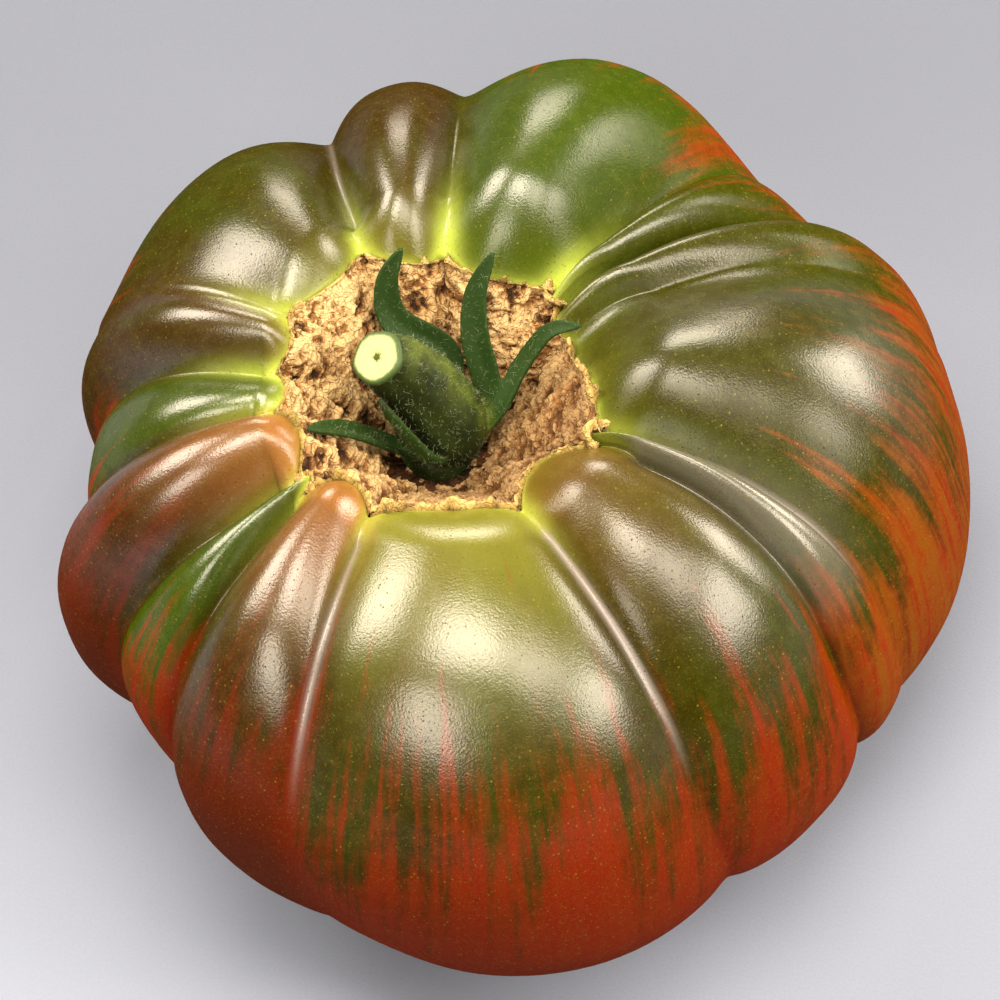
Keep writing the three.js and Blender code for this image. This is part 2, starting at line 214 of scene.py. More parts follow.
def profile(stage, t, edge, reach, crown):
    """Radius and height of the profile without furrows."""
    crown_r = CROWN_SHARE * reach
    if stage in ("hollow", "crust", "shoulder"):
        start, end = {"hollow": (0, edge), "crust": (CORK_HOLE_R, edge), "shoulder": (edge, crown_r)}[stage]
        r = lerp(start, end, t)
        return r, FLOOR_Z + (crown - FLOOR_Z) * (1 - np.cos(np.pi * r / crown_r)) / 2
    c = max(math.cos(t * math.pi / 2), 0)
    s = math.sin(t * math.pi / 2)
    if stage == "upper":
        height = WIDEST_Z + (crown - WIDEST_Z) * c ** (2 / UPPER_FULLNESS)
        return crown_r + (reach - crown_r) * s ** (2 / UPPER_FULLNESS), height
    height = WIDEST_Z * (1 - s ** (2 / LOWER_FULLNESS))
    return REST_R + (reach - REST_R) * c ** (2 / LOWER_FULLNESS), height


def arch_across(lobe, u):
    """How far up its arch a point across the lobe is, and the same before the arch is rounded."""
    soft = lerp(FURROW["soft"][lobe], FURROW["soft"][(lobe + 1) % LOBE_COUNT], u)
    peak = LOBE["peak"][lobe]
    from_furrow = np.minimum(u / peak, (1 - u) / (1 - peak))
    rounded = (np.hypot(from_furrow, soft) - soft) / (np.hypot(1, soft) - soft)
    return 1 - (1 - rounded) ** LOBE_ROUNDING, rounded


def skin_ring(stage, t, lobe, u, lift=0.0):
    """Points round the skin, or round the cork's top in the hollow, raised by lift along the profile's
    normal."""
    after = (lobe + 1) % LOBE_COUNT
    wrap = 360.0 * (after == 0)
    turns = {"shoulder": SHOULDER_TURN * t, "upper": lerp(SHOULDER_TURN, 1, t), "lower": 1}
    turned = smooth(turns.get(stage, 0))
    azimuth = lerp(
        lerp(FURROW["rim"][lobe], FURROW["side"][lobe], turned),
        lerp(FURROW["rim"][after], FURROW["side"][after], turned) + wrap,
        u,
    )
    reach, crown = around(azimuth, "reach"), around(azimuth, "crown")
    arch, rounded = arch_across(lobe, u)
    edge = lerp(FURROW["edge"][lobe], FURROW["edge"][after], u) - LOBE["swell"][lobe] * arch
    r, z = profile(stage, t, edge, reach, crown)
    r0, z0 = profile(stage, max(t - 1e-3, 0), edge, reach, crown)
    further = min(t + 1e-3, 1) if stage in ("upper", "lower") else t + 1e-3
    r1, z1 = profile(stage, further, edge, reach, crown)
    length = np.hypot(r1 - r0, z1 - z0)
    out, up = -(z1 - z0) / length, (r1 - r0) / length

    run = {
        "shoulder": lerp(RIM_DEPTH_SHARE, 1, smooth(t)),
        "upper": 1,
        "lower": (1 - t) ** UNDERSIDE_FADE,
    }.get(stage, RIM_DEPTH_SHARE * smooth(r / edge))
    low = {"upper": smooth(t), "lower": 1}.get(stage, 0)
    depth = lerp(
        lerp(FURROW["top"][lobe], FURROW["low"][lobe], low),
        lerp(FURROW["top"][after], FURROW["low"][after], low),
        u,
    )
    crease = lerp(FURROW["crease"][lobe], FURROW["crease"][after], smooth(u))
    fineness = lerp(1, LOW_CREASE_SHARE, low) * (1 - rounded) ** CREASE_SHARPNESS
    sunk = run * (depth * (1 - arch) + crease * fineness + LOBE["sink"][lobe] * arch) - lift
    radius, height = r - out * sunk, z - up * sunk
    lean = smooth(height / LEAN_Z)
    angle = np.radians(azimuth)
    x = STEM_AXIS[0] * lean + radius * np.cos(angle)
    y = STEM_AXIS[1] * lean + radius * np.sin(angle)
    return np.stack([x, y, height], -1)


# Meshes
def mesh_piece(name, points, faces, material, slot):
    """A piece of the tomato from points in millimetres."""
    mesh = bpy.data.meshes.new(name)
    mesh.from_pydata((points * MM).tolist(), [], faces)
    mesh.validate()
    mesh.polygons.foreach_set("use_smooth", [True] * len(mesh.polygons))
    piece = bpy.data.objects.new(name, mesh)
    bpy.context.scene.collection.objects.link(piece)
    mesh.materials.append(material)
    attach(piece, "root")
    return piece


def paint_field(piece, name, values):
    """Stores one number, or one vector, for each of the piece's points, for its material."""
    kind, member = ("FLOAT_VECTOR", "vector") if values.ndim > 1 else ("FLOAT", "value")
    attribute = piece.data.attributes.new(name, kind, "POINT")
    attribute.data.foreach_set(member, values.astype(np.float32).ravel())


def loft_faces(rings, columns, looped=False):
    """Quads between rings of equal count, all closed round."""
    k = np.arange(rings if looped else rings - 1)[:, None]
    j = np.arange(columns)[None, :]
    here, next_ring = k * columns, ((k + 1) % rings) * columns
    after = (j + 1) % columns
    quads = np.stack([here + j, next_ring + j, next_ring + after, here + after], -1).reshape(-1, 4)
    return quads.tolist()


def fan(centre, ring_start, columns, outwards):
    """Triangles that close a ring with its middle point."""
    rows = []
    for j in range(columns):
        a, b = ring_start + j, ring_start + (j + 1) % columns
        rows.append((centre, a, b) if outwards else (centre, b, a))
    return rows


def joined(parts):
    """One set of points and faces from several."""
    points, faces, start = [], [], 0
    for some_points, some_faces in parts:
        points.append(some_points)
        faces += [tuple(v + start for v in face) for face in some_faces]
        start += len(some_points)
    return np.concatenate(points), faces


# Shader maths
class Link:
    """A socket that takes part in Python expressions."""

    def __init__(self, finish, socket):
        self.finish = finish
        self.socket = socket

    def math(self, operation, *others):
        inputs = dict(enumerate((self, *others)))
        return self.finish.node("ShaderNodeMath", {"operation": operation}, inputs)

    def __add__(self, other):
        return self.math("ADD", other)

    def __sub__(self, other):
        return self.math("SUBTRACT", other)

    def __rsub__(self, other):
        return self.finish.node("ShaderNodeMath", {"operation": "SUBTRACT"}, {0: other, 1: self})

    def __mul__(self, other):
        return self.math("MULTIPLY", other)

    def __truediv__(self, other):
        return self.math("DIVIDE", other)

    __radd__ = __add__
    __rmul__ = __mul__

    def other(self, output):
        """Another output of the same node."""
        return Link(self.finish, self.socket.node.outputs[output])

    def step(self, low, high):
        """0 below low and 1 above high, with a smooth rise between them; high may be the lower one."""
        settings = {"interpolation_type": "SMOOTHSTEP"}
        return self.finish.node(
            "ShaderNodeMapRange", settings, {"Value": self, "From Min": low, "From Max": high}, "Result"
        )


class Finish:
    """A material, and the nodes that make it."""

    def __init__(self, name, **constants):
        self.material = bpy.data.materials.new(name)
        self.material.use_nodes = True
        self.tree = self.material.node_tree
        self.shader = self.tree.nodes["Principled BSDF"]
        self.set_constants(self.shader, constants)

    def set_constants(self, shader, values):
        for socket, value in values.items():
            shader.inputs[socket.replace("_", " ")].default_value = value

    def node(self, kind, settings=None, inputs=None, output=0):
        made = self.tree.nodes.new(kind)
        for key, value in (settings or {}).items():
            setattr(made, key, value)
        for key, value in (inputs or {}).items():
            if isinstance(value, Link):
                self.tree.links.new(value.socket, made.inputs[key])
            else:
                made.inputs[key].default_value = value
        return Link(self, made.outputs[output])

    def field(self, name):
        return self.node("ShaderNodeAttribute", {"attribute_name": name}, output="Fac")

    def field_vector(self, name):
        return self.node("ShaderNodeAttribute", {"attribute_name": name}, output="Vector")

    def place(self):
        return self.node("ShaderNodeTexCoord", output="Object")

    def scaled(self, vector, factors):
        return self.node("ShaderNodeVectorMath", {"operation": "MULTIPLY"}, {0: vector, 1: factors})

    def cloud(self, vector, scale, detail=2.0, roughness=0.5):
        """Noise from 0 to 1."""
        inputs = {"Vector": vector, "Scale": scale, "Detail": detail, "Roughness": roughness}
        return self.node("ShaderNodeTexNoise", {}, inputs, "Fac")

    def spots(self, vector, scale, radius, share):
        """Round spots, one to a cell in this share of the cells, of random size and strength."""
        far = self.node("ShaderNodeTexVoronoi", {}, {"Vector": vector, "Scale": scale}, "Distance")
        pick = self.node("ShaderNodeSeparateColor", {}, {0: far.other("Color")}, "Red")
        size, strength = pick.other("Green"), pick.other("Blue")
        there = pick.step(1 - share, 1 - share + 0.02) * (strength * 0.7 + 0.3)
        return there * (far / (size * 0.6 + 0.4)).step(radius, radius * 0.4)

    def crack(self, vector, scale, width):
        """Lines between cells, of this width in cells."""
        edge = {"feature": "DISTANCE_TO_EDGE"}
        far = self.node("ShaderNodeTexVoronoi", edge, {"Vector": vector, "Scale": scale}, "Distance")
        return far.step(width, 0.0)

    def mix(self, share, first, second):
        """A colour between two colours, which are links or (red, green, blue)."""
        made = self.tree.nodes.new("ShaderNodeMix")
        made.data_type = "RGBA"
        for index, value in ((0, share), (6, first), (7, second)):
            if isinstance(value, Link):
                self.tree.links.new(value.socket, made.inputs[index])
            elif isinstance(value, tuple):
                made.inputs[index].default_value = (*value, 1.0)
            else:
                made.inputs[index].default_value = value
        return Link(self, made.outputs[2])

    def bump(self, height, distance, strength=1.0):
        inputs = {"Height": height, "Distance": distance, "Strength": strength}
        return self.node("ShaderNodeBump", {}, inputs)

    def connect(self, shader, links):
        for socket, link in links.items():
            self.tree.links.new(link.socket, shader.inputs[socket.replace("_", " ")])

    def set(self, **links):
        self.connect(self.shader, links)
        return self.material

    def set_over_dull(self, share, dull, **links):
        """The finish in this share. The rest is a second shader with the same links, but its own constants."""
        under = self.tree.nodes.new("ShaderNodeBsdfPrincipled")
        self.set_constants(under, dull)
        self.connect(under, links)
        self.connect(self.shader, links)
        both = self.tree.nodes.new("ShaderNodeMixShader")
        self.tree.links.new(share.socket, both.inputs[0])
        self.tree.links.new(under.outputs[0], both.inputs[1])
        self.tree.links.new(self.shader.outputs[0], both.inputs[2])
        self.tree.links.new(both.outputs[0], self.tree.nodes["Material Output"].inputs["Surface"])
        return self.material


# Skin finish
OLIVE_BROWN = (0.021, 0.0100, 0.0002)
OLIVE_GREEN = (0.021, 0.0240, 0.0004)
OLIVE_YOUNG = (0.210, 0.205, 0.0200)
GREEN = (0.030, 0.060, 0.0010)
BROWN = (0.040, 0.0115, 0.0004)
RED = (0.215, 0.0125, 0.0010)
RED_DEEP = (0.095, 0.0062, 0.0010)
ORANGE = (0.180, 0.0560, 0.0020)
BRICK = (0.048, 0.0095, 0.0006)
BLUSH = (0.340, 0.1300, 0.0300)
# painted light: a glow of light shining through the skin, yellow-green by the cork
PAINTED_GLOW = (0.460, 0.560, 0.0850)
# painted highlight: the pale sheen on the furrows' lines and on some lobes
PAINTED_SHEEN_COLOUR = (0.320, 0.280, 0.270)
FLECK = (0.190, 0.150, 0.0150)
PIT = (0.012, 0.008, 0.0004)
PEEL_DEPTH = 0.000028  # metres
SKIN_IOR = 1.75
NO_SHINE = {"Specular_IOR_Level": 0.0}


def skin_finish():
    skin = Finish("tomato_skin", IOR=SKIN_IOR)
    grain = skin.field_vector("grain")
    place = skin.place()
    stripes = skin.cloud(skin.scaled(grain, (0.11, 0.11, 0.7)), 1.0, 4.0, 0.6)
    streaks = skin.cloud(skin.scaled(grain, (0.24, 0.24, 1.3)), 1.0, 4.0, 0.62)
    fine_streaks = skin.cloud(skin.scaled(grain, (0.9, 0.9, 3.0)), 1.0, 3.0, 0.65)
    patches = skin.cloud(place, 60.0, 3.0, 0.55)
    mottle = skin.cloud(place, 480.0, 4.0, 0.7)

    body = skin.mix((stripes * 0.6 + patches * 0.4).step(0.38, 0.62), OLIVE_BROWN, OLIVE_GREEN)
    body = skin.mix(skin.field("young"), body, OLIVE_YOUNG)
    body = skin.mix(skin.field("green") * (mottle * 0.6 + 0.7), body, GREEN)
    body = skin.mix(skin.field("brown") * (patches * 0.5 + stripes * 0.5).step(0.75, 0.42), body, BROWN)
    body = skin.mix(mottle.step(0.35, 0.72) * 0.05, body, OLIVE_YOUNG)

    ripe = skin.field("ripe")
    ragged = (streaks - 0.5) * 1.8 + (fine_streaks - 0.5) * 0.8 + (mottle - 0.5) * 0.35
    ripened = (ripe + ragged).step(-0.26, 0.24)
    red = skin.mix((ripe + (patches - 0.5) * 0.6).step(0.1, 1.0), RED, RED_DEEP)
    red = skin.mix(skin.field("orange") * (fine_streaks + mottle * 0.5).step(0.5, 0.95), red, ORANGE)
    red = skin.mix(skin.field("brown") * 0.85, red, BRICK)
    colour = skin.mix(ripened, body, red)

    # painted glow of light shining through the skin, beside the cork and in the furrows
    colour = skin.mix(skin.field("glow") * (mottle * 0.5 + 0.75), colour, PAINTED_GLOW)
    # painted highlight: a pale line in each furrow's bottom and a pale sheen over some lobes
    colour = skin.mix(skin.field("painted_sheen"), colour, PAINTED_SHEEN_COLOUR)
    colour = skin.mix(skin.field("blush") * (stripes * 0.9 + 0.4), colour, BLUSH)
    peel = skin.cloud(place, 3600.0, 1.0, 0.5)
    colour = skin.mix(peel.step(0.5, 0.7) * 0.08, colour, FLECK)
    flecks = skin.spots(place, 1500.0, 0.26, 0.9)
    dust = skin.spots(skin.scaled(place, (-1.0, 1.0, 1.0)), 2600.0, 0.30, 0.8)
    pits = skin.spots(skin.scaled(place, (1.0, -1.0, 1.0)), 2300.0, 0.32, 0.7)
    colour = skin.mix(flecks * 0.8 + dust * 0.5, colour, FLECK)
    colour = skin.mix(pits * 0.7, colour, PIT)

    relief = peel - pits * 0.5 + flecks * 0.2
    wax = skin.field("wax") * (1.0 - pits * 0.8) * (mottle * 0.4 + 0.8)
    normal = skin.bump(relief, PEEL_DEPTH)
    return skin.set_over_dull(wax, NO_SHINE, Base_Color=colour, Roughness=mottle * 0.06 + 0.24, Normal=normal)


def swollen(rings, fall):
    """The skin's rings with its fine, uneven swelling, which fades at the cork and at the flat spot."""
    swell = 0.28 * noise(rings, 13.0, 3) + 0.10 * noise(rings, 5.5, 4)
    calm = smooth((fall + 0.05) / 0.5) * smooth((2.85 - fall) / 0.4)
    outward = rings - np.array([*STEM_AXIS, WIDEST_Z])
    outward /= np.linalg.norm(outward, axis=-1, keepdims=True)
    return rings + outward * (swell * calm)[..., None]


def skin_rings(lobe, u):
    """The skin's rings from its bed under the cork to the flat spot, and how far down each point lies: 0 at
    the cork's edge, 1 at the crown, 2 at the widest level and 3 at the flat spot."""
    stages = [("hollow", t, -(CORK_T + CORK_GAP)) for t in BED_SHARES]
    stages += [("hollow", 1.0, 0.0)]
    for stage, count in RING_COUNTS.items():
        stages += [(stage, t, 0.0) for t in np.linspace(0, 1, count + 1)[1:]]
    rings = np.array([skin_ring(stage, t, lobe, u, lift) for stage, t, lift in stages])
    number = {"hollow": -1, "shoulder": 0, "upper": 1, "lower": 2}
    fall = np.array([number[stage] + t for stage, t, _ in stages])[:, None] + np.zeros(len(u))
    return swollen(rings, fall), fall


def skin_fields(rings, fall, lobe, u):
    """What the skin's finish is painted by: a number, or a vector, for each point of its rings."""
    # distances over the surface, in millimetres: to the cork's edge, and to the furrows on either side
    steps_out = np.linalg.norm(np.diff(rings, axis=0), axis=-1)
    to_rim = np.concatenate([np.zeros((1, len(u))), steps_out.cumsum(0)])
    to_rim = np.maximum(to_rim - to_rim[len(BED_SHARES)], 0)
    by_lobe = rings.reshape(len(rings), LOBE_COUNT, LOBE_COLUMNS, 3)
    here = by_lobe[:, :, :1]
    after = np.roll(here, -1, axis=1)
    to_here = np.linalg.norm(by_lobe - here, axis=-1).reshape(fall.shape)
    to_after = np.linalg.norm(by_lobe - after, axis=-1).reshape(fall.shape)
    nearest = np.minimum(to_here, to_after)

    def furrow_value(key):
        return np.where(to_here < to_after, FURROW[key][lobe], FURROW[key][(lobe + 1) % LOBE_COUNT])

    def lobe_value(key):
        """The lobe's own value, shared with its neighbour's at the furrow between them."""
        value = LOBE[key]
        neighbour = np.where(u < 0.5, value[(lobe - 1) % LOBE_COUNT], value[(lobe + 1) % LOBE_COUNT])
        return lerp((value[lobe] + neighbour) / 2, value[lobe], smooth((1 - abs(2 * u - 1)) / 0.3))

    # painted glow of light shining through the skin, near the furrows and at the cork's edge
    furrow_glow = furrow_value("glow") * np.exp(-((nearest / 2.0) ** 2)) * np.exp(-((to_rim / 8.0) ** 2))
    rim_glow = 0.7 * np.exp(-to_rim / 0.5) + 0.08 * np.exp(-to_rim / 2.5)
    # painted highlight: pale lines in the furrows' bottoms and a pale sheen over some lobes, on a band of the
    # height
    sheen_line = 0.9 * furrow_value("painted_sheen") * np.exp(-((nearest / 0.45) ** 2))
    sheen_band = smooth((fall - 0.45) / 0.4) * smooth((1.75 - fall) / 0.35)
    azimuth = np.arctan2(rings[..., 1] - STEM_AXIS[1], rings[..., 0] - STEM_AXIS[0])
    sheen_end = 1.78 - 0.35 * smooth(1.4 * np.sin(azimuth))
    sheen = smooth((sheen_end - fall) / 0.45) * lerp(0.3, 1, smooth((fall - 0.1) / 0.5))
    sheen *= 1 - LOBE["matt"][lobe] * smooth((0.42 - u) / 0.25)
    pale = lobe_value("pale")
    return {
        "ripe": fall - lobe_value("ripe"),
        "green": lobe_value("green") * smooth((2.2 - fall) / 0.6),
        "brown": lobe_value("brown") + 0 * fall,
        "young": pale * smooth((0.85 + 0.75 * pale - fall) / 0.9),
        "orange": lobe_value("orange") + 0 * fall,
        "glow": np.clip(furrow_glow + rim_glow, 0, 1) * (fall >= 0),
        "painted_sheen": (sheen_line + lobe_value("lobe_sheen")) * sheen_band,
        "blush": lobe_value("blush") * smooth((1.5 - fall) / 0.9),
        "wax": lerp(0.05, 0.98, sheen),
        "grain": np.stack([50 * np.cos(azimuth), 50 * np.sin(azimuth), fall], -1),
    }


def fruit_skin():
    """The whole skin from under the cork to the flat spot."""
    steps = np.arange(LOBE_COLUMNS) / LOBE_COLUMNS
    across = lerp(steps, (1 - np.cos(np.pi * steps)) / 2, 0.55)
    lobe = np.repeat(np.arange(LOBE_COUNT), LOBE_COLUMNS)
    u = np.tile(across, LOBE_COUNT)
    rings, fall = skin_rings(lobe, u)
    ring_count, columns = fall.shape
    top = np.array([[*STEM_AXIS, FLOOR_Z - CORK_T - CORK_GAP]])
    bottom = np.array([[0.0, 0.0, 0.0]])
    points = np.concatenate([rings.reshape(-1, 3), top, bottom])
    faces = loft_faces(ring_count, columns)
    faces += fan(len(points) - 2, 0, columns, True)
    faces += fan(len(points) - 1, (ring_count - 1) * columns, columns, False)
    skin = mesh_piece("fruit_skin", points, faces, skin_finish(), "skin")
    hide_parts("fruit")
    for name, values in skin_fields(rings, fall, lobe, u).items():
        ends = values[[0, -1], 0]
        paint_field(skin, name, np.concatenate([values.reshape(-1, *values.shape[2:]), ends]))


# Cork finish and crust
CORK_PALE = (0.760, 0.520, 0.240)
CORK_TAN = (0.260, 0.115, 0.030)
CORK_BROWN = (0.120, 0.045, 0.010)
CORK_DARK = (0.035, 0.013, 0.004)
CORK_RIM = (0.480, 0.370, 0.090)
CORK_RELIEF = 0.00018  # metres
# The crust's rings count 0 at the solid's hole and 1 at its edge. They begin further in, so that the crust
# closes round the stem's seat, and end with the rings of its torn fringe.
CORK_INNER_SHARE = -0.17
CORK_RINGS = 131
FRINGE_RINGS = 4


def cork_finish():
    cork = Finish("cork_crust", Specular_IOR_Level=0.25)
    place = cork.place()
    height = cork.field("crest")
    fibre = cork.cloud(place, 1100.0, 4.0, 0.7)
    stain = cork.cloud(place, 130.0, 2.0, 0.5)
    pits = cork.spots(place, 1200.0, 0.30, 0.4)
    warp = cork.node("ShaderNodeTexNoise", {}, {"Vector": place, "Scale": 700.0, "Detail": 2.0}, "Color")
    shift = {0: warp, 1: (0.0016, 0.0016, 0.0016), 2: place}
    warped = cork.node("ShaderNodeVectorMath", {"operation": "MULTIPLY_ADD"}, shift)
    cleft = cork.crack(warped, 900.0, 0.08) * 0.5
    strand = cork.cloud(warped, 620.0, 2.0, 0.5)
    strand = strand.step(0.44, 0.5) * strand.step(0.56, 0.5)
    # the crust's own tan tones, with painted highlight on its crests and painted shade in its hollows, clefts
    # and pits
    light = (height + (fibre - 0.5) * 0.9 + strand * 0.25 - cleft * 0.3).step(0.28, 0.8)
    colour = cork.mix((height + (fibre - 0.5) * 0.6).step(0.05, 0.42), CORK_DARK, CORK_TAN)
    colour = cork.mix(light * (stain * 1.2 + 0.25), colour, CORK_PALE)
    # painted shade: the crust darker towards its right and front sides
    colour = cork.mix(cork.field("side_shade") * (stain * 0.8 + 0.2), colour, CORK_BROWN)
    colour = cork.mix(cleft * 0.5, colour, CORK_DARK)
    colour = cork.mix(pits * 0.8, colour, CORK_DARK)
    colour = cork.mix(cork.field("rim") * (fibre * 0.8 + 0.1), colour, CORK_RIM)
    relief = fibre + strand * 0.8 + cork.cloud(place, 2600.0, 2.0, 0.6) * 0.4 - pits * 0.8 - cleft
    normal = cork.bump(relief, CORK_RELIEF)
    return cork.set(Base_Color=colour, Roughness=0.85 - light * 0.2, Normal=normal)


def crust_ring(t, fringe, lobe, u):
    """The crust's ring at a share t of the way out. Past 1 it goes straight on, by each column's fringe."""
    if t <= 1:
        return skin_ring("crust", t, lobe, u)
    inner = skin_ring("crust", 0.97, lobe, u)
    edge = skin_ring("crust", 1.0, lobe, u)
    return edge + (edge - inner) * (fringe * (t - 1) / 0.03)[:, None]


def cork_crust(material):
    """The crinkled crust with its ragged edge, over a plain underside."""
    lobe = np.repeat(np.arange(LOBE_COUNT), CORK_LOBE_COLUMNS)
    u = np.tile(np.arange(CORK_LOBE_COLUMNS) / CORK_LOBE_COLUMNS, LOBE_COUNT)
    edge_points = skin_ring("crust", 1.0, lobe, u)
    torn = np.clip(noise(edge_points, 1.4, 21) + 0.6 * noise(edge_points, 0.6, 22), 0, 1)
    fringe = 0.012 + 0.10 * torn**1.5
    shares = np.linspace(CORK_INNER_SHARE, 1, CORK_RINGS)
    shares = np.append(shares, 1 + np.arange(1, FRINGE_RINGS + 1) / FRINGE_RINGS)[:, None]
    base = np.array([crust_ring(t, fringe, lobe, u) for t in shares[:, 0]])
    base[..., 2] += 1.1 * smooth((0.06 - shares) / 0.22)

    along = np.gradient(base, axis=0)
    across = np.roll(base, -1, 1) - np.roll(base, 1, 1)
    normal = np.cross(along, across)
    normal /= np.linalg.norm(normal, axis=-1, keepdims=True)
    normal *= np.where(normal[..., 2:] < 0, -1, 1)

    bent = base + 0.9 * np.stack([noise(base, 2.4, 31 + k) for k in range(3)], -1)
    folds = (1 - abs(noise(bent, 2.8, 41))) ** 3
    wrinkles = (1 - abs(noise(bent, 1.0, 42))) ** 3
    threads = (1 - abs(noise(bent, 0.5, 43))) ** 3
    border, pick, tilt = flakes(bent, 1.9, 51)
    cracks = smooth(border / 0.2)
    height = 0.80 * folds + 0.44 * wrinkles + 0.24 * threads + 0.60 * tilt + 0.2 * cracks + 0.1 * pick
    calm = 0.5 + 0.5 * smooth((shares + 0.1) / 0.2)
    curl = smooth((shares - 0.96) / 0.1) * (0.25 + 0.6 * smooth(torn / 0.7))
    top = base + normal * (0.8 * height * calm + curl - 0.15)[..., None]

    under_shares = (1.0, 0.66, 0.33, CORK_INNER_SHARE)
    under = np.array([skin_ring("crust", t, lobe, u, -CORK_T) for t in under_shares])
    rings = np.concatenate([top, under])
    faces = loft_faces(len(rings), len(u), looped=True)
    crust = mesh_piece("cork_crust", rings.reshape(-1, 3), faces, material, "cork")
    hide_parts("cork_scar")

    azimuth = np.arctan2(base[..., 1] - STEM_AXIS[1], base[..., 0] - STEM_AXIS[0])
    # how the finish is painted: each field's name, its values over the top, and its one value underneath
    fields = (
        ("crest", np.clip((height - 0.15) / 1.2, 0, 1), 0.0),
        ("rim", smooth((shares - 0.995) / 0.04) + 0 * height, 0.0),
        # painted shade: darker towards the right front, and all of it underneath
        ("side_shade", smooth((np.cos(azimuth + 0.75) + 0.35) / 1.2) * smooth((1.25 - shares) / 0.35), 1.0),
    )
    for name, values, below in fields:
        paint_field(crust, name, np.append(values.ravel(), np.full(under[..., 0].size, below)))


# Green finish and parts
STEM_RELIEF = 0.00012  # metres
CUT_RELIEF = 0.0001
GREEN_STEM = (0.075, 0.105, 0.006)
GREEN_DARK = (0.008, 0.016, 0.001)
GREEN_SEPAL = (0.014, 0.040, 0.003)
CUT_FLESH = (0.500, 0.540, 0.200)
CUT_GREEN = (0.040, 0.080, 0.012)
HAIR_DULL = (0.200, 0.240, 0.110)
HAIR_BRIGHT = (0.340, 0.380, 0.240)


def green_finish():
    green = Finish("stem_green", Specular_IOR_Level=0.25)
    place = green.place()
    mottle = green.cloud(place, 300.0, 3.0, 0.6)
    fine = green.cloud(place, 1600.0, 3.0, 0.6)
    colour = green.mix(mottle.step(0.3, 0.7), GREEN_DARK, GREEN_STEM)
    # painted shade: the front side of the stem and the sepals darkened
    colour = green.mix(green.field("shade") * 0.85, colour, GREEN_DARK)
    colour = green.mix(green.field("blade"), colour, GREEN_SEPAL)
    colour = green.mix(fine.step(0.58, 0.8) * 0.3, colour, HAIR_DULL)
    normal = green.bump(fine + mottle, STEM_RELIEF, 0.7)
    return green.set(Base_Color=colour, Roughness=0.55 + fine * 0.2, Normal=normal)


def cut_finish():
    cut = Finish("cut_flesh", Specular_IOR_Level=0.5)
    place = cut.place()
    grain = cut.cloud(place, 2200.0, 3.0, 0.6)
    rays = cut.cloud(cut.field_vector("spoke"), 2.6, 2.0, 0.6)
    radius = cut.field("radius")
    share = radius + (grain - 0.5) * 0.10 + (rays - 0.5) * 0.7 * radius.step(0.9, 0.1)
    colour = cut.mix(share.step(0.02, 0.30), CUT_GREEN, CUT_FLESH)
    colour = cut.mix(grain.step(0.55, 0.8) * share.step(0.8, 0.2) * 0.5, colour, GREEN_STEM)
    colour = cut.mix(share.step(0.76, 0.94), colour, CUT_GREEN)
    normal = cut.bump(grain, CUT_RELIEF, 0.5)
    return cut.set(Base_Color=colour, Roughness=0.45 + grain * 0.2, Normal=normal)


def hair_finish():
    hair = Finish("plant_hair", Specular_IOR_Level=0.5)
    tone = hair.cloud(hair.place(), 800.0, 1.0, 0.5)
    colour = hair.mix(tone, HAIR_DULL, HAIR_BRIGHT)
    return hair.set(Base_Color=colour, Roughness=0.4 + tone * 0.2)


def curve_points(path, count):
    """Points and directions along a centripetal Catmull-Rom curve through the path's points."""
    knots = np.array(path, float)
    knots = np.vstack([2 * knots[0] - knots[1], knots, 2 * knots[-1] - knots[-2]])
    spans = np.linalg.norm(np.diff(knots, axis=0), axis=1) ** 0.5
    points, directions = [], []
    for share in np.linspace(0, 1, count):
        at = share * (len(path) - 1)
        k = min(int(at), len(path) - 2)
        t = at - k
        p0, p1, p2, p3 = knots[k : k + 4]
        d0, d1, d2 = spans[k : k + 3]
        m1 = d1 * ((p1 - p0) / d0 - (p2 - p0) / (d0 + d1) + (p2 - p1) / d1)
        m2 = d1 * ((p2 - p1) / d1 - (p3 - p1) / (d1 + d2) + (p3 - p2) / d2)
        a, b = -3 * p1 + 3 * p2 - 2 * m1 - m2, 2 * p1 - 2 * p2 + m1 + m2
        points.append(p1 + m1 * t + a * t * t + b * t**3)
        slope = m1 + 2 * a * t + 3 * b * t * t
        directions.append(slope / np.linalg.norm(slope))
    return np.array(points), np.array(directions)


def sweep(path, count, section, facing):
    """A closed solid along a curve. section(t) gives its outline as rows of (across, up), where up turns to
    facing."""
    centres, along = curve_points(path, count)
    across = np.cross(along, facing)
    across /= np.linalg.norm(across, axis=1, keepdims=True)
    up = np.cross(across, along)
    rings = []
    for k, t in enumerate(np.linspace(0, 1, count)):
        outline = section(t)
        rings.append(centres[k] + outline[:, :1] * across[k] + outline[:, 1:] * up[k])
    rings = np.array(rings)
    columns = rings.shape[1]
    points = np.concatenate([rings.reshape(-1, 3), rings[0].mean(0)[None], rings[-1].mean(0)[None]])
    faces = loft_faces(count, columns)
    faces += fan(len(points) - 2, 0, columns, True)
    faces += fan(len(points) - 1, (count - 1) * columns, columns, False)
    return points, faces


def stem_radius(t):
    at = t * (len(STEM_RADII) - 1)
    k = min(int(at), len(STEM_RADII) - 2)
    return lerp(STEM_RADII[k], STEM_RADII[k + 1], float(smooth(at - k)))


def stem_solid():
    turns = np.linspace(0, 2 * np.pi, 64, endpoint=False)
    ribs = 1 + 0.025 * np.cos(5 * turns + 0.6) + 0.012 * np.cos(11 * turns)

    def section(t):
        radius = stem_radius(t) * ribs
        return np.stack([radius * np.cos(turns), radius * np.sin(turns)], 1)

    return sweep(STEM_PATH, 80, section, (0.0, 1.0, 0.2))


